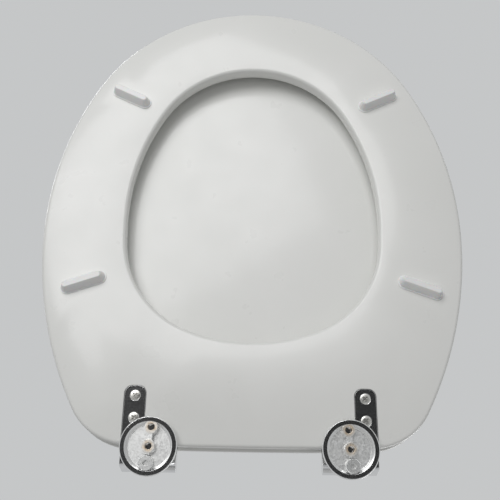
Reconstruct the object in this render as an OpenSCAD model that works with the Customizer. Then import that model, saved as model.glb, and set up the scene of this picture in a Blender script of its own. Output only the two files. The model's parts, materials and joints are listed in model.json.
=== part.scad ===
// Toilet seat: a lacquered ring and lid on two chromed hinges, closed, as it sits on the pan.
// The pan's top is z = 0 and the nose points along -Y.
// The origin lies midway between the middle stud holes of the two discs.
// The modules measure y from the pin axis, and placed() moves them to the origin.

/* [Outline] */
// Width of the ring
seat_w = 370; // [350:1:400]
// Length of the ring
seat_l = 420; // [395:1:445]
// Back edge to the widest line
widest = 187.5; // [175:0.5:200]
// Radius of the nose
nose_r = 169; // [155:0.5:173]
// Radius of the flanks behind the widest line
flank_r = 328; // [300:1:400]
// Radius of the two back corners
corner_r = 54; // [40:1:62]
// Bow of the back edge
back_r = 5000; // [2500:100:6000]
// How far the lid stands out past the ring all round
lid_over = 2; // [0:0.5:4]

/* [Opening] */
// Width of the opening
hole_w = 225; // [210:1:240]
// Length of the opening
hole_l = 268; // [250:1:285]
// Rim behind the opening
back_rim = 84; // [76:1:95]
// Back of the opening to its widest line
hole_widest = 114; // [105:1:120]
// Radius of the front of the opening
hole_nose_r = 97; // [88:0.5:102]
// Radius of the opening's flanks behind its widest line
hole_flank_r = 327; // [250:1:400]
// Radius of the opening's back corners
hole_corner_r = 90; // [75:1:95]
// Radius of the back of the opening
hole_back_r = 152; // [140:1:170]

/* [Heights] */
// Ring above the pan, which is the height of the seat buffers
buffer_h = 9; // [8.8:0.1:12]
// Thickness of the ring
ring_t = 17; // [15:0.5:20]
// Gap between the ring and the lid, which is the height of the lid buffers
lid_gap = 5; // [4.5:0.1:8]
// Thickness of the lid
lid_t = 17; // [14:0.5:20]
// Rounding of the upper edges
top_round = 8; // [5:0.5:9]
// Rounding of the lower edges
under_round = 3; // [1:0.5:4]

/* [Hinge] */
// Distance between the two posts
post_gap = 160; // [150:0.5:170]
// Pin axis behind the back edge
hinge_back = 12.5; // [11.5:0.1:16]
// Outer diameter of the eyes
eye_d = 13; // [12:0.1:14]
// Pin diameter
pin_d = 6; // [5:0.1:6.6]
// Wall of the nylon bushes
bush_wall = 1.5; // [1:0.1:1.7]
// Collar of a bush, between an eye and the post
collar_t = 0.8; // [0.5:0.1:1.5]
// Closed end of each eye
eye_end = 2.2; // [1.5:0.1:4]
// Width of the straps and their eyes
strap_w = 17; // [15:0.1:19]
// Thickness of the straps
strap_t = 3; // [2.6:0.1:3.5]
// Gap round a strap in its recess
recess_gap = 0.6; // [0.2:0.1:1]
// Pin axis to the round end of a strap
strap_l = 59.5; // [56:0.5:66]
// Radius of the strap's end corners
strap_corner = 6; // [3:0.1:7]
// Width of a post between the eyes
post_w = 7; // [6.4:0.1:9]
// Foot of a post
foot_d = 13; // [11:0.1:14]
// Thickness of the foot
foot_t = 1.8; // [1.2:0.1:2]
// Spigot under the foot, on which the disc turns
spigot_d = 9; // [7:0.1:10]

/* [Strap screws] */
// Pin axis to the front screw
screw_ahead = 52; // [50:0.1:54]
// Distance between the two screws of a strap
screw_pitch = 17.5; // [15:0.1:20]
// Head diameter
screw_head_d = 8.6; // [7.5:0.1:9.5]
// Shank diameter
screw_d = 4; // [3.5:0.1:4.5]
// Length under the head face
screw_l = 15; // [12:0.1:16]
// Rise of the raised head
screw_rise = 0.6; // [0.3:0.1:0.8]

/* [Base disc] */
// Diameter of a base disc
disc_d = 44.8; // [43:0.1:47]
// Height of a base disc
disc_h = 6.8; // [6.2:0.1:7]
// Floor of the disc
disc_floor = 1.8; // [1.2:0.1:2]
// Flat rim that bears on the pan
rim_w = 3.2; // [2.4:0.1:4.2]
// Width of the slope inside the rim
rim_slope = 2.1; // [1.5:0.1:3]
// Width of the domed shoulder on the back
disc_shoulder = 7; // [5:0.1:9]
// Post axis to the middle of the disc, where the first stud hole is
disc_off = 12.5; // [11.6:0.1:13]
// First stud hole to the second
stud_pitch = 14.5; // [12.5:0.1:14.8]
// Boss round a stud hole
boss_d = 10.2; // [9:0.1:11]
// Threaded stud hole
stud_d = 5.1; // [4.2:0.1:6]
// Rib between the bosses
rib_w = 4.2; // [3:0.1:5]
// Angle at which the discs stand, their fronts towards each other
disc_turn = 5.9; // [0:0.1:12]
// Head of the screw that holds a disc on its post
disc_screw_head_d = 11.6; // [10:0.1:11.8]
// Shank of that screw
disc_screw_d = 4.8; // [4:0.1:5]

/* [Buffers] */
// Foot plate of a buffer, length
pad_l = 40.5; // [36:0.5:44]
// Foot plate of a buffer, width
pad_w = 12.5; // [11:0.1:14]
// Foot plate of a buffer, thickness
pad_t = 0.7; // [0.4:0.1:1.2]
// Width of the bar where it leaves the foot plate
bar_w = 10.5; // [9:0.1:11]
// Width of the bar's tip
tip_w = 5.6; // [4:0.1:7]
// Rounding along the tip's edges
tip_round = 0.7; // [0.4:0.1:0.9]
// Peg under a buffer
peg_d = 5; // [4:0.1:6]
// Length of a peg
peg_l = 8; // [5:0.1:9]
// Place of the buffers across the rim, from 0 at the opening to 1 at the edge
rim_share = 0.53; // [0.48:0.01:0.56]
// Direction of the front buffers, seen from the middle of the opening
front_place = 46; // [40:0.5:52]
// Direction of the back buffers
back_place = -23.8; // [-28:0.2:-18]
// Turn of the front bars
front_turn = 25.6; // [15:0.2:35]
// Turn of the back bars
back_turn = -19.7; // [-30:0.1:-10]

/* [Hidden] */
$fn = 64;

// Clearances
press = 0.02;
run = 0.05;
slip = 0.2;
side_play = 0.15;
relief = 0.4;
past = 1;

// Finishes
lacquer = [0.93, 0.93, 0.91];
rubber_white = [0.96, 0.96, 0.95];
chrome = [0.78, 0.79, 0.80];
nylon = [0.90, 0.90, 0.86];
steel = [0.70, 0.70, 0.68];

// Levels
ring_top = buffer_h + ring_t;
lid_under = ring_top + lid_gap;
eye_r = eye_d / 2;
pin_z = lid_under - eye_r;
foot_z = disc_h + run;
floor_z = disc_h - disc_floor;

// The pin axis lies this far behind the origin
axis_y = disc_off * cos(disc_turn);

// Places across the hinge, on the side where x is positive
post_x = post_gap / 2;
eye_off = post_w / 2 + side_play + collar_t;
seat_eye_x = post_x + eye_off;
lid_eye_x = post_x - eye_off - strap_w;
bore_r = pin_d / 2 + run + bush_wall;
bore_l = strap_w - eye_end;
bush_l = bore_l - slip;
head_room = disc_screw_head_d / 2 + relief;

// The outlines: arcs that run into each other, from the middle of the back to the middle of the nose
pole = [0, back_rim + hole_widest];
outer_steps = [6, 10, 18, 12, 20];
round_steps = 5;
under_steps = 3;

outer = arcs(seat_w, seat_l, widest, back_r, corner_r, flank_r, nose_r, 0);
opening = arcs(hole_w, hole_l, pole[1], hole_back_r, hole_corner_r, hole_flank_r, hole_nose_r, back_rim);

function dir(a) = [cos(a), sin(a)];
function heading(v) = atan2(v[1], v[0]);

// Centre that lies r1 from c1 and r2 from c2, on the side where x is positive
function between(c1, r1, c2, r2) =
    let (d = norm(c2 - c1), u = (c2 - c1) / d, along = (r1 * r1 - r2 * r2 + d * d) / (2 * d))
    c1 + along * u + sqrt(r1 * r1 - along * along) * [-u[1], u[0]];

// Each arc is its centre, its radius and the heading at which the next arc takes over.
// The side arc in front of the widest line is the one that touches the nose arc there.
function arcs(w, l, wide, back, corner, flank, nose, start) =
    let (
        half = w / 2,
        nose_c = [0, start + l - nose],
        ahead = nose_c[1] - wide,
        side = (half * half + ahead * ahead - nose * nose) / (2 * (half - nose)),
        side_c = [half - side, wide],
        flank_c = [half - flank, wide],
        back_c = [0, start + back],
        corner_c = between(back_c, back - corner, flank_c, flank - corner)
    )
    [
        [back_c, back, heading(corner_c - back_c)],
        [corner_c, corner, heading(corner_c - flank_c)],
        [flank_c, flank, 0],
        [side_c, side, heading(nose_c - side_c)],
        [nose_c, nose, 90]
    ];

// Distance from the pole to an outline that is drawn in by inset, along heading a
function arc_end(arc, inset) = heading(arc[0] + (arc[1] - inset) * dir(arc[2]) - pole);
function arc_hit(arc, inset, a) =
    let (w = arc[0] - pole, b = w * dir(a))
    b + sqrt(b * b - w * w + pow(arc[1] - inset, 2));
function reach(line, inset, a, i = 0) =
    i == len(line) - 1 || a <= arc_end(line[i], inset)
        ? arc_hit(line[i], inset, a)
        : reach(line, inset, a, i + 1);

// Headings round the pole, closer together where the outer edge bends most
half_turn = [
    for (i = [0:len(outer) - 1])
        let (first = i == 0 ? -90 : outer[i - 1][2], last = outer[i][2])
        for (k = [0:outer_steps[i] - 1])
            heading(outer[i][0] + outer[i][1] * dir(first + (last - first) * k / outer_steps[i]) - pole)
];
turn = concat(half_turn, [90], [for (i = [len(half_turn) - 1:-1:1]) 180 - half_turn[i]]);

// A point at distance v ahead of the back edge lies at this y
function ahead_y(v) = -hinge_back - v;
function rim_point(line, inset, z, a) =
    let (p = pole + reach(line, inset, a <= 90 ? a : 180 - a) * dir(a))
    [p[0], ahead_y(p[1]), z];
function loop(line, inset, z) = [for (a = turn) rim_point(line, inset, z, a)];

// The edge of a board: how far it is drawn in at each level, from the lower face to the upper one
function board_edge(low, thick) = concat(
    [for (k = [0:under_steps])
        let (a = 90 * k / under_steps) [under_round * (1 - sin(a)), low + under_round * (1 - cos(a))]],
    [for (k = [round_steps:-1:0])
        let (a = 90 * k / round_steps) [top_round * (1 - sin(a)), low + thick - top_round * (1 - cos(a))]]
);

// Skin over loops of points, closed by a face at each end or back onto the first loop
module skin(loops, ended) {
    n = len(loops[0]);
    m = len(loops);
    walls = [
        for (i = [0:ended ? m - 2 : m - 1], j = [0:n - 1])
            let (next = (i + 1) % m, k = (j + 1) % n)
            each [[i * n + j, i * n + k, next * n + k], [i * n + j, next * n + k, next * n + j]]
    ];
    ends = ended ? [[for (j = [n - 1:-1:0]) j], [for (j = [0:n - 1]) (m - 1) * n + j]] : [];
    polyhedron(points = [for (one = loops) each one], faces = concat(walls, ends), convexity = 8);
}

module mirrored(side) {
    if (side < 0) mirror([1, 0, 0]) children();
    else children();
}

module placed(side) {
    translate([0, axis_y, 0]) mirrored(side) children();
}

// Extrudes a side view, drawn in y and z, along x
module across(x, w) {
    translate([x, 0, 0]) rotate([90, 0, 90]) linear_extrude(w) children();
}

module rod(x, l, r) {
    translate([x, 0, pin_z]) rotate([0, 90, 0]) cylinder(h = l, r = r);
}

// Point where the straight line from p touches the eye, on the side given by hand
function eye_touch(p, hand) =
    let (c = [0, pin_z], v = p - c)
    c + eye_r * dir(heading(v) + hand * acos(eye_r / norm(v)));

// Plan of a strap plate
module tongue(x, grow) {
    r = strap_corner + grow;
    w = strap_w + 2 * grow;
    l = strap_l + grow;
    translate([x - grow, 0]) {
        translate([0, -l + r]) square([w, l - r]);
        translate([r, -l]) square([w - 2 * r, l]);
        for (cx = [r, w - r]) translate([cx, -l + r]) circle(r);
    }
}

module at_screws(x) {
    for (y = [screw_ahead, screw_ahead - screw_pitch])
        translate([x + strap_w / 2, -y, 0]) children();
}

// Half section of a screw with a raised countersunk head, the head face at z = 0
sink_h = (screw_head_d - screw_d) / 2;
function screw_outline(grow) =
    let (head = screw_head_d / 2 + grow, shank = screw_d / 2 + grow, dome_steps = 4)
    concat(
        [for (k = [0:dome_steps])
            let (a = 90 * k / dome_steps) [head * sin(a), -screw_rise * cos(a)]],
        [[shank, sink_h], [shank, screw_l - screw_d + grow], [0, screw_l + grow]]
    );

module strap_screws(x, face) {
    color(steel) at_screws(x) translate([0, 0, face]) difference() {
        rotate_extrude() polygon(screw_outline(0));
        cross_recess();
    }
}

module cross_recess() {
    arm = screw_head_d * 0.52;
    slot = screw_head_d * 0.11;
    deep = sink_h * 0.55;
    for (a = [0, 90])
        rotate([0, 0, 45 + a]) translate([-arm / 2, -slot / 2, -screw_rise - past]) cube([arm, slot, deep + screw_rise + past]);
}

// Holes for the shanks in a board that lies above the head face
module screw_holes(x, face) {
    at_screws(x) translate([0, 0, face]) rotate_extrude() polygon(screw_outline(run));
}

// Eye with a blind bore, open towards the post
module eye_bore(x, open_low) {
    rod(open_low ? x - past : x + eye_end, bore_l + past, bore_r);
}

module seat_strap() {
    arm_r = pin_z - buffer_h;
    crank_foot = 2;
    crank_front = [-hinge_back + relief, buffer_h + strap_t];
    crank_back = [crank_foot, pin_z - sqrt(arm_r * arm_r - crank_foot * crank_foot)];
    color(chrome) difference() {
        union() {
            across(seat_eye_x, strap_w) {
                translate([0, pin_z]) circle(eye_r);
                polygon([
                    [-hinge_back - past, buffer_h], [-hinge_back - past, buffer_h + strap_t], crank_front,
                    eye_touch(crank_front, -1), [0, pin_z], eye_touch(crank_back, 1), crank_back, [0, buffer_h]
                ]);
            }
            translate([0, 0, buffer_h]) linear_extrude(strap_t) tongue(seat_eye_x, 0);
        }
        eye_bore(seat_eye_x, true);
        screw_holes(seat_eye_x, buffer_h);
    }
}

module lid_strap() {
    plate_z = lid_under - strap_t;
    crank_front = [-hinge_back - past, plate_z];
    color(chrome) difference() {
        union() {
            across(lid_eye_x, strap_w) {
                translate([0, pin_z]) circle(eye_r);
                polygon([
                    crank_front, [-hinge_back - past, lid_under], [0, lid_under], [0, pin_z],
                    eye_touch(crank_front, 1)
                ]);
            }
            translate([0, 0, plate_z]) linear_extrude(strap_t) tongue(lid_eye_x, 0);
        }
        eye_bore(lid_eye_x, false);
        screw_holes(lid_eye_x, plate_z);
    }
}

// Nylon bush: it is pressed into an eye, and its collar runs against the post
module bush(x, dir_x) {
    color(nylon) difference() {
        union() {
            rod(dir_x > 0 ? x : x - bush_l, bush_l, bore_r - press);
            rod(dir_x > 0 ? x - collar_t : x, collar_t, eye_r - relief);
        }
        rod(x - strap_w, 2 * strap_w, pin_d / 2 + run);
    }
}

module hinge_pin() {
    reach_x = eye_off + bush_l - slip;
    color(steel) rod(post_x - reach_x, 2 * reach_x, pin_d / 2);
}

module hinge_post() {
    bolt_top = pin_z - pin_d / 2 - past;
    color(chrome) difference() {
        union() {
            across(post_x - post_w / 2, post_w) {
                translate([0, pin_z]) circle(eye_r);
                translate([-eye_r, foot_z + foot_t / 2]) square([eye_d, pin_z - foot_z - foot_t / 2]);
            }
            translate([post_x, 0, foot_z]) cylinder(h = foot_t, d = foot_d);
            translate([post_x, 0, floor_z - run]) cylinder(h = disc_floor + past, d = spigot_d);
        }
        rod(post_x - post_w, 2 * post_w, pin_d / 2 + press);
        translate([post_x, 0, floor_z - past])
            cylinder(h = bolt_top - floor_z + past, d = disc_screw_d + 2 * press);
    }
}

// Socket screw from below, whose head keeps the disc on the spigot
module disc_screw() {
    head_z = floor_z - run;
    head_h = head_z - relief * 2;
    bolt_top = pin_z - pin_d / 2 - 2 * past;
    bevel = 0.5;
    socket_d = disc_screw_head_d * 0.42;
    color(steel) translate([post_x, 0, 0]) difference() {
        union() {
            translate([0, 0, head_z - head_h + bevel]) cylinder(h = head_h - bevel, d = disc_screw_head_d);
            translate([0, 0, head_z - head_h])
                cylinder(h = bevel, d1 = disc_screw_head_d - 2 * bevel, d2 = disc_screw_head_d);
            translate([0, 0, head_z - past]) cylinder(h = bolt_top - head_z + past, d = disc_screw_d);
        }
        translate([0, 0, head_z - head_h - past]) cylinder(h = head_h * 0.6 + past, d = socket_d, $fn = 6);
    }
}

// Half section of the disc: a dish turned over, with a flat rim and a domed back
function disc_outline() =
    let (
        r = disc_d / 2, edge = 0.6, wall_z = disc_h * 0.4, dome_steps = 6,
        crown_r = r - disc_shoulder, inner = r - edge - rim_w
    )
    concat(
        [[0, floor_z], [inner - rim_slope, floor_z], [inner - rim_slope * 0.35, floor_z * 0.5], [inner, 0]],
        [[r - edge, 0], [r, edge]],
        [for (k = [0:dome_steps])
            let (a = 90 * k / dome_steps)
            [crown_r + (r - crown_r) * cos(a), wall_z + (disc_h - wall_z) * sin(a)]],
        [[0, disc_h]]
    );

module at_disc() {
    translate([post_x, 0, 0]) rotate([0, 0, -disc_turn]) translate([0, -disc_off, 0]) children();
}

module base_disc() {
    boss_low = 0.3;
    lead = 0.45;
    skin_t = 0.9;
    inner = disc_d / 2 - rim_w;
    color(chrome) at_disc() difference() {
        union() {
            rotate_extrude() polygon(disc_outline());
            for (y = [0, -stud_pitch]) translate([0, y, boss_low]) cylinder(h = floor_z, d = boss_d);
            translate([-rib_w / 2, -stud_pitch, 2 * boss_low]) cube([rib_w, stud_pitch + inner, floor_z]);
        }
        translate([0, disc_off, -past]) cylinder(h = floor_z + past, r = head_room);
        translate([0, disc_off, -past]) cylinder(h = disc_h + 2 * past, d = spigot_d + 2 * run);
        for (y = [0, -stud_pitch]) translate([0, y, 0]) {
            translate([0, 0, -past]) cylinder(h = disc_h - skin_t + past, d = stud_d);
            translate([0, 0, boss_low]) cylinder(h = lead, d1 = stud_d + 2 * lead, d2 = stud_d);
            translate([0, 0, -past]) cylinder(h = past + boss_low, d = stud_d + 2 * lead);
        }
    }
}

// Moulded buffer: a foot plate, a tapered bar with round ends, and two pegs that fill holes in the board
bar_l = pad_l - pad_w;
peg_at = bar_l / 2 - peg_d / 2;

module round_bar(half_section) {
    rotate([90, 0, 90]) translate([0, 0, -bar_l / 2]) linear_extrude(bar_l)
        polygon(concat(half_section, [for (i = [len(half_section) - 1:-1:0]) [-half_section[i][0], half_section[i][1]]]));
    for (x = [-bar_l / 2, bar_l / 2]) translate([x, 0, 0])
        rotate_extrude() polygon(concat(half_section, [[0, half_section[len(half_section) - 1][1]], [0, half_section[0][1]]]));
}

// The bar hangs down from z = 0
module buffer(h) {
    color(rubber_white) {
        round_bar([
            [pad_w / 2, 0], [pad_w / 2, -pad_t], [bar_w / 2, -pad_t], [tip_w / 2, tip_round - h],
            [tip_w / 2 - tip_round, -h]
        ]);
        for (x = [-peg_at, peg_at]) translate([x, 0, -pad_t / 2]) cylinder(h = peg_l + pad_t / 2, d = peg_d);
    }
}

module at_buffer(place, angle) {
    r = reach(opening, 0, place) * (1 - rim_share) + reach(outer, 0, place) * rim_share;
    p = pole + r * dir(place);
    translate([p[0], ahead_y(p[1]), 0]) rotate([0, 0, -angle]) children();
}

module peg_holes() {
    for (x = [-peg_at, peg_at]) translate([x, 0, -past]) cylinder(h = peg_l + run + past, d = peg_d + 2 * press);
}

module seat_buffer(place, angle) {
    translate([0, 0, buffer_h]) at_buffer(place, angle) buffer(buffer_h);
}

module lid_buffer() {
    translate([0, 0, lid_under]) at_buffer(front_place, front_turn) buffer(lid_gap);
}

module seat_ring() {
    edge = board_edge(buffer_h, ring_t);
    loops = concat(
        [for (p = edge) loop(outer, p[0], p[1])],
        [for (i = [len(edge) - 1:-1:0]) loop(opening, -edge[i][0], edge[i][1])]
    );
    color(lacquer) difference() {
        skin(loops, false);
        for (side = [-1, 1]) mirrored(side) {
            translate([0, 0, buffer_h - past]) linear_extrude(strap_t + past) tongue(seat_eye_x, recess_gap);
            screw_holes(seat_eye_x, buffer_h);
            translate([0, 0, buffer_h]) at_buffer(front_place, front_turn) peg_holes();
            translate([0, 0, buffer_h]) at_buffer(back_place, back_turn) peg_holes();
        }
    }
}

module lid() {
    loops = [for (p = board_edge(lid_under, lid_t)) loop(outer, p[0] - lid_over, p[1])];
    color(lacquer) difference() {
        skin(loops, true);
        for (side = [-1, 1]) mirrored(side) {
            screw_holes(lid_eye_x, lid_under - strap_t);
            translate([0, 0, lid_under]) at_buffer(front_place, front_turn) peg_holes();
        }
    }
}

placed(1) seat_ring();
placed(1) lid();
placed(-1) seat_buffer(front_place, front_turn);  // seat_buffer_front_left
placed(1) seat_buffer(front_place, front_turn);  // seat_buffer_front_right
placed(-1) seat_buffer(back_place, back_turn);  // seat_buffer_back_left
placed(1) seat_buffer(back_place, back_turn);  // seat_buffer_back_right
placed(-1) lid_buffer();  // lid_buffer_left
placed(1) lid_buffer();  // lid_buffer_right
placed(-1) seat_strap();  // seat_strap_left
placed(1) seat_strap();  // seat_strap_right
placed(-1) lid_strap();  // lid_strap_left
placed(1) lid_strap();  // lid_strap_right
placed(-1) strap_screws(seat_eye_x, buffer_h);  // seat_strap_screws_left
placed(1) strap_screws(seat_eye_x, buffer_h);  // seat_strap_screws_right
placed(-1) strap_screws(lid_eye_x, lid_under - strap_t);  // lid_strap_screws_left
placed(1) strap_screws(lid_eye_x, lid_under - strap_t);  // lid_strap_screws_right
placed(-1) bush(seat_eye_x, 1);  // seat_bush_left
placed(1) bush(seat_eye_x, 1);  // seat_bush_right
placed(-1) bush(lid_eye_x + strap_w, -1);  // lid_bush_left
placed(1) bush(lid_eye_x + strap_w, -1);  // lid_bush_right
placed(-1) hinge_pin();  // hinge_pin_left
placed(1) hinge_pin();  // hinge_pin_right
placed(-1) hinge_post();  // hinge_post_left
placed(1) hinge_post();  // hinge_post_right
placed(-1) disc_screw();  // disc_screw_left
placed(1) disc_screw();  // disc_screw_right
placed(-1) base_disc();  // base_disc_left
placed(1) base_disc();  // base_disc_right
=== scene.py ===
import json
from math import radians

import bpy
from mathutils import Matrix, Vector


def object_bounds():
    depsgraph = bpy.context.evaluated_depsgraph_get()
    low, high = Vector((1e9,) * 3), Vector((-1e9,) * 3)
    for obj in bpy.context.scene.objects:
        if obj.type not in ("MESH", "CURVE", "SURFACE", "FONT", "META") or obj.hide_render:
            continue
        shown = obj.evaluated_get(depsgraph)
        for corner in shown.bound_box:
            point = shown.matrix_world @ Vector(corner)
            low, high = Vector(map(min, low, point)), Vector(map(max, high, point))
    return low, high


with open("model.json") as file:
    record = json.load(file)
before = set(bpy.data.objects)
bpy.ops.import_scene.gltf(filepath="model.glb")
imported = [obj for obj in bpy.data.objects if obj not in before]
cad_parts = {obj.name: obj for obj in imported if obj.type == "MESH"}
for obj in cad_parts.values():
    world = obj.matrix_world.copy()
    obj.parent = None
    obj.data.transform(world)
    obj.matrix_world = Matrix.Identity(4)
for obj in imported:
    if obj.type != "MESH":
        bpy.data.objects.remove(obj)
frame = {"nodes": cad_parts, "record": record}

bpy.context.view_layer.update()
cad_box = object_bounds()
nodes = frame["nodes"]
MM = 0.001

# The photograph looks up at the seat's underside, from the side of the hinges
CAMERA_PLACE = (-0.0028, 0.0284, -0.5215)
CAMERA_TURN = (-159.88, 0.39, -0.89)
SENSOR = 36
LENS = 46.5

# The stage: a floor at the level of the pan's top, lamps above it and below it
FLOOR_HALF = 6.0
FLOOR_DROP = 0.3 * MM
BACKGROUND = (0.56, 0.57, 0.575)
FLOOR_COLOUR = (0.62, 0.625, 0.62)
WORLD_LIGHT = 0.36
LAMPS = {
    "below_key": {"place": (-0.50, -1.00, -1.60), "size": (1.4, 1.0), "power": 17},
    "above_key": {"place": (-1.10, -1.30, 1.70), "size": (1.5, 1.5), "power": 26},
    "above_back": {"place": (1.20, 1.10, 1.30), "size": (1.2, 0.8), "power": 11},
}
LAMP_AIM = Vector((0, -0.2, 0))
CARD_HALF = (0.30, 0.15)
CARD_PLACE = (0, -0.10, -0.60)

# Angle above which two faces keep a sharp edge between them
SHARP = radians(35)
WELD = 0.002 * MM


class Finish:
    """A Principled material and the few nodes that vary it over the surface."""

    def __init__(self, name, **values):
        self.material = bpy.data.materials.new(name)
        self.material.use_nodes = True
        self.tree = self.material.node_tree
        self.shader = self.tree.nodes["Principled BSDF"]
        for socket, value in values.items():
            self.shader.inputs[socket.replace("_", " ")].default_value = value
        self.place = self.add("ShaderNodeTexCoord").outputs["Object"]

    def add(self, kind, **inputs):
        node = self.tree.nodes.new(kind)
        for socket, value in inputs.items():
            self.put(node.inputs[socket.replace("_", " ")], value)
        return node

    def put(self, socket, value):
        if isinstance(value, bpy.types.NodeSocket):
            self.tree.links.new(value, socket)
        else:
            socket.default_value = value

    def drive(self, socket, value):
        self.put(self.shader.inputs[socket], value)

    def stretched(self, scale):
        node = self.add("ShaderNodeVectorMath", Vector=self.place)
        node.operation = "MULTIPLY"
        node.inputs[1].default_value = scale
        return node.outputs["Vector"]

    def noise(self, scale, detail=2.0, rough=0.5, place=None):
        node = self.add("ShaderNodeTexNoise", Vector=place or self.place, Scale=scale, Detail=detail, Roughness=rough)
        return node.outputs["Fac"]

    def spread(self, value, low, high, from_low=0.3, from_high=0.7):
        node = self.add("ShaderNodeMapRange", Value=value, From_Min=from_low, From_Max=from_high, To_Min=low, To_Max=high)
        return node.outputs["Result"]

    def blend(self, share, a, b):
        node = self.tree.nodes.new("ShaderNodeMix")
        node.data_type = "RGBA"
        self.put(node.inputs[0], share)
        self.put(node.inputs[6], a)
        self.put(node.inputs[7], b)
        return node.outputs[2]

    def sum(self, operation, a, b):
        node = self.tree.nodes.new("ShaderNodeMath")
        node.operation = operation
        self.put(node.inputs[0], a)
        self.put(node.inputs[1], b)
        return node.outputs[0]

    def axis(self, letter):
        return self.add("ShaderNodeSeparateXYZ", Vector=self.place).outputs[letter]

    def between(self, value, low, high):
        above = self.sum("GREATER_THAN", value, low)
        return self.sum("MULTIPLY", above, self.sum("LESS_THAN", value, high))

    def away_from(self, x, y):
        flat = self.stretched((1, 1, 0))
        node = self.add("ShaderNodeVectorMath", Vector=flat)
        node.operation = "DISTANCE"
        node.inputs[1].default_value = (x, y, 0)
        return node.outputs["Value"]

    def relief(self, height, depth, strength=1.0, edge=0.0, under=None):
        node = self.add("ShaderNodeBump", Height=height, Distance=depth, Strength=strength)
        if under is not None:
            self.put(node.inputs["Normal"], under)
        elif edge:
            rounded = self.add("ShaderNodeBevel", Radius=edge)
            rounded.samples = 6
            self.put(node.inputs["Normal"], rounded.outputs["Normal"])
        self.drive("Normal", node.outputs["Normal"])
        return node.outputs["Normal"]


def rgb(r, g, b):
    return (r, g, b, 1)


def lacquer():
    """White lacquer on fibreboard: a faint orange peel, and a tone that drifts over the board."""
    f = Finish("white_lacquer", Coat_Weight=0.35, Coat_Roughness=0.12)
    drift = f.spread(f.noise(7, 3), 0, 1)
    f.drive("Base Color", f.blend(drift, rgb(0.845, 0.850, 0.825), rgb(0.885, 0.888, 0.868)))
    f.drive("Roughness", f.spread(f.noise(45, 3), 0.27, 0.36))
    f.relief(f.noise(620, 2, 0.55), 0.05 * MM, 0.5, edge=0.3 * MM)
    return f.material


def soft_plastic():
    """Buffers: milky soft plastic with the fine grain of its mould."""
    f = Finish("buffer_plastic", Subsurface_Weight=0.12, Subsurface_Scale=1.2 * MM)
    f.drive("Base Color", f.blend(f.spread(f.noise(90, 3), 0, 1), rgb(0.92, 0.925, 0.92), rgb(0.965, 0.965, 0.955)))
    f.drive("Roughness", f.spread(f.noise(300), 0.30, 0.42))
    f.relief(f.noise(2200, 2), 0.02 * MM, 0.6, edge=0.35 * MM)
    return f.material


def nylon():
    f = Finish("nylon", Subsurface_Weight=0.1, Subsurface_Scale=0.8 * MM)
    f.drive("Base Color", f.blend(f.noise(160), rgb(0.80, 0.79, 0.73), rgb(0.87, 0.86, 0.81)))
    f.drive("Roughness", f.spread(f.noise(500), 0.35, 0.5))
    f.relief(f.noise(1500), 0.015 * MM, 0.5, edge=0.2 * MM)
    return f.material


def plated(name):
    """Polished chrome on cast zinc: the plating follows a faint swell, with fine polishing lines."""
    f = Finish(name, Metallic=1.0)
    f.drive("Base Color", f.blend(f.spread(f.noise(70, 3), 0, 1), rgb(0.74, 0.745, 0.755), rgb(0.83, 0.83, 0.83)))
    lines = f.noise(60, 4, 0.7, f.stretched((1, 18, 18)))
    f.drive("Roughness", f.spread(lines, 0.05, 0.13))
    swell = f.relief(f.noise(95, 2), 0.12 * MM, 0.35, edge=0.3 * MM)
    f.relief(lines, 0.004 * MM, 0.4, under=swell)
    return f


def strap_chrome():
    return plated("strap_chrome").material


def disc_chrome(side):
    """A base disc: polished outside, and satin inside, with a painted warm reflection on the boss walls round the
    holes.
    """
    f = plated(f"disc_chrome_{side}")
    tone = f.shader.inputs["Base Color"].links[0].from_socket
    gloss = f.shader.inputs["Roughness"].links[0].from_socket
    level = f.axis("Z")
    holes = [m["pos_m"] for m in frame["record"]["mounts"] if m["name"].startswith(side) and "stud" in m["name"]]
    near = None
    for x, y, _ in holes:
        ring = f.away_from(x, y)
        near = ring if near is None else f.sum("MINIMUM", near, ring)
    floor = f.between(level, 4.6 * MM, 5.4 * MM)
    satin = f.sum("MAXIMUM", floor, f.between(level, 0.1 * MM, 0.75 * MM))
    tone = f.blend(satin, tone, rgb(0.93, 0.93, 0.92))
    # Painted reflection: a patchy warm brown tint on the boss walls round the stud holes stands in for a warm
    # reflection in the chrome.
    painted_warm_reflection = f.sum("MULTIPLY", f.spread(near, 1, 0, 3.4 * MM, 5.6 * MM), f.between(level, 0.15 * MM, 4.6 * MM))
    patch = f.spread(f.noise(420, 3), 0.25, 0.9)
    tone = f.blend(f.sum("MULTIPLY", painted_warm_reflection, patch), tone, rgb(0.78, 0.60, 0.40))
    f.drive("Base Color", tone)
    grain = f.spread(f.noise(900, 2), 0.30, 0.42)
    mix = f.tree.nodes.new("ShaderNodeMix")
    f.put(mix.inputs[0], satin)
    f.put(mix.inputs[2], gloss)
    f.put(mix.inputs[3], grain)
    f.drive("Roughness", mix.outputs[0])
    return f.material


def screw_steel():
    """Zinc-plated steel with a slight haze."""
    f = Finish("screw_steel", Metallic=1.0)
    f.drive("Base Color", f.blend(f.spread(f.noise(380, 3), 0, 1), rgb(0.56, 0.55, 0.52), rgb(0.70, 0.69, 0.66)))
    f.drive("Roughness", f.spread(f.noise(900, 3), 0.22, 0.36))
    f.relief(f.noise(1400, 3), 0.01 * MM, 0.6, edge=0.15 * MM)
    return f.material


def bright_steel():
    """The nickel-plated head that shows in the middle of each disc's chain."""
    f = Finish("bright_steel", Metallic=1.0)
    f.drive("Base Color", f.blend(f.noise(500), rgb(0.84, 0.84, 0.83), rgb(0.92, 0.92, 0.91)))
    f.drive("Roughness", f.spread(f.noise(1200, 3), 0.26, 0.38))
    f.relief(f.noise(1600, 2), 0.01 * MM, 0.5, edge=0.2 * MM)
    return f.material


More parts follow.
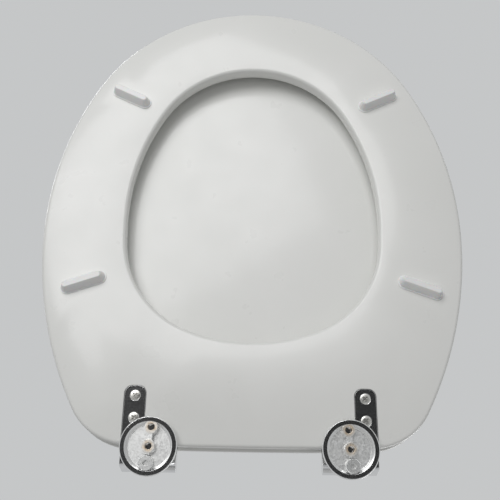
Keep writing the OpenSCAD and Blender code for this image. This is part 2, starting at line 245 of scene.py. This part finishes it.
def dress(material, *parts):
    """Gives CAD nodes their finish, and smooth shading across the facets of one surface."""
    for part in parts:
        piece = nodes[part]
        piece.data.materials.clear()
        piece.data.materials.append(material)
        if "custom_normal" in piece.data.attributes:
            piece.data.attributes.remove(piece.data.attributes["custom_normal"])
        piece.data.shade_smooth()
        weld = piece.modifiers.new("weld", "WELD")
        weld.merge_threshold = WELD
        split = piece.modifiers.new("sharp_edges", "EDGE_SPLIT")
        split.split_angle = SHARP


def named(*stems):
    return [n for n in nodes if n.startswith(stems)]


def stage_material(name, colour, in_reflections):
    """Seen from above only, so that the lamps and the camera below reach the seat's underside."""
    material = bpy.data.materials.new(name)
    material.use_nodes = True
    tree = material.node_tree
    tree.nodes.clear()
    add = tree.nodes.new
    rays = add("ShaderNodeLightPath")
    front = add("ShaderNodeMath")
    front.operation = "SUBTRACT"
    front.inputs[0].default_value = 1
    tree.links.new(add("ShaderNodeNewGeometry").outputs["Backfacing"], front.inputs[1])
    seen = rays.outputs["Is Camera Ray"]
    for kind in ("Is Glossy Ray", "Is Transmission Ray") if in_reflections else ():
        either = add("ShaderNodeMath")
        either.operation = "MAXIMUM"
        tree.links.new(seen, either.inputs[0])
        tree.links.new(rays.outputs[kind], either.inputs[1])
        seen = either.outputs[0]
    share = add("ShaderNodeMath")
    share.operation = "MULTIPLY"
    tree.links.new(seen, share.inputs[0])
    tree.links.new(front.outputs[0], share.inputs[1])
    surface = add("ShaderNodeBsdfDiffuse")
    surface.inputs["Color"].default_value = colour
    mix = add("ShaderNodeMixShader")
    tree.links.new(share.outputs[0], mix.inputs[0])
    tree.links.new(add("ShaderNodeBsdfTransparent").outputs[0], mix.inputs[1])
    tree.links.new(surface.outputs[0], mix.inputs[2])
    tree.links.new(mix.outputs[0], add("ShaderNodeOutputMaterial").inputs["Surface"])
    return material


def make_floor():
    """One plane. The patch under the seat doesn't show in its own reflections."""
    lo, hi = cad_box
    xs = (-FLOOR_HALF, lo.x, hi.x, FLOOR_HALF)
    ys = (-FLOOR_HALF, lo.y, hi.y, FLOOR_HALF)
    corners = [(x, y, -FLOOR_DROP) for y in ys for x in xs]
    faces = [(4 * j + i, 4 * j + i + 1, 4 * j + i + 5, 4 * j + i + 4) for j in range(3) for i in range(3)]
    mesh = bpy.data.meshes.new("floor")
    mesh.from_pydata(corners, [], faces)
    mesh.materials.append(stage_material("floor_round_the_seat", rgb(*FLOOR_COLOUR), True))
    mesh.materials.append(stage_material("floor_under_the_seat", rgb(*FLOOR_COLOUR), False))
    mesh.polygons[4].material_index = 1
    floor = bpy.data.objects.new("floor", mesh)
    bpy.context.scene.collection.objects.link(floor)


def make_card():
    """A dark card beside the camera, which the polished straps reflect."""
    w, l = CARD_HALF
    mesh = bpy.data.meshes.new("card")
    mesh.from_pydata([(-w, -l, 0), (w, -l, 0), (w, l, 0), (-w, l, 0)], [], [(0, 1, 2, 3)])
    material = bpy.data.materials.new("card")
    material.use_nodes = True
    material.node_tree.nodes["Principled BSDF"].inputs["Base Color"].default_value = rgb(0.012, 0.012, 0.012)
    mesh.materials.append(material)
    card = bpy.data.objects.new("card", mesh)
    card.location = CARD_PLACE
    card.visible_camera = card.visible_diffuse = card.visible_shadow = False
    bpy.context.scene.collection.objects.link(card)


def make_world():
    """Plain light from all round. The camera and what reflects see the pale background instead."""
    world = bpy.data.worlds.new("studio")
    bpy.context.scene.world = world
    world.use_nodes = True
    tree = world.node_tree
    tree.nodes.clear()
    rays = tree.nodes.new("ShaderNodeLightPath")
    seen = rays.outputs["Is Camera Ray"]
    for kind in ("Is Glossy Ray", "Is Transmission Ray"):
        either = tree.nodes.new("ShaderNodeMath")
        either.operation = "MAXIMUM"
        tree.links.new(seen, either.inputs[0])
        tree.links.new(rays.outputs[kind], either.inputs[1])
        seen = either.outputs[0]
    light = tree.nodes.new("ShaderNodeBackground")
    light.inputs["Strength"].default_value = WORLD_LIGHT
    shown = tree.nodes.new("ShaderNodeBackground")
    shown.inputs["Color"].default_value = rgb(*BACKGROUND)
    mix = tree.nodes.new("ShaderNodeMixShader")
    tree.links.new(seen, mix.inputs[0])
    tree.links.new(light.outputs[0], mix.inputs[1])
    tree.links.new(shown.outputs[0], mix.inputs[2])
    tree.links.new(mix.outputs[0], tree.nodes.new("ShaderNodeOutputWorld").inputs["Surface"])


def make_lamps():
    for name, facts in LAMPS.items():
        data = bpy.data.lights.new(name, "AREA")
        data.shape = "RECTANGLE"
        data.size, data.size_y = facts["size"]
        data.energy = facts["power"]
        lamp = bpy.data.objects.new(name, data)
        lamp.location = facts["place"]
        lamp.rotation_euler = (LAMP_AIM - lamp.location).to_track_quat("-Z", "Y").to_euler()
        bpy.context.scene.collection.objects.link(lamp)


def make_camera():
    data = bpy.data.cameras.new("camera")
    data.sensor_width = SENSOR
    data.lens = LENS
    camera = bpy.data.objects.new("camera", data)
    camera.location = CAMERA_PLACE
    camera.rotation_euler = [radians(a) for a in CAMERA_TURN]
    bpy.context.scene.collection.objects.link(camera)
    bpy.context.scene.camera = camera


make_camera()
make_world()
make_lamps()
make_floor()
make_card()

dress(lacquer(), "seat_ring", "lid")
dress(soft_plastic(), *named("seat_buffer", "lid_buffer"))
dress(nylon(), *named("seat_bush", "lid_bush"))
dress(strap_chrome(), *(n for n in named("seat_strap", "lid_strap", "hinge_post") if "screws" not in n))
dress(screw_steel(), *named("seat_strap_screws", "lid_strap_screws", "hinge_pin"))
dress(bright_steel(), *named("disc_screw"))
for hand in ("left", "right"):
    dress(disc_chrome(hand), f"base_disc_{hand}")

bpy.context.scene.view_settings.view_transform = "Standard"

bpy.context.view_layer.update()
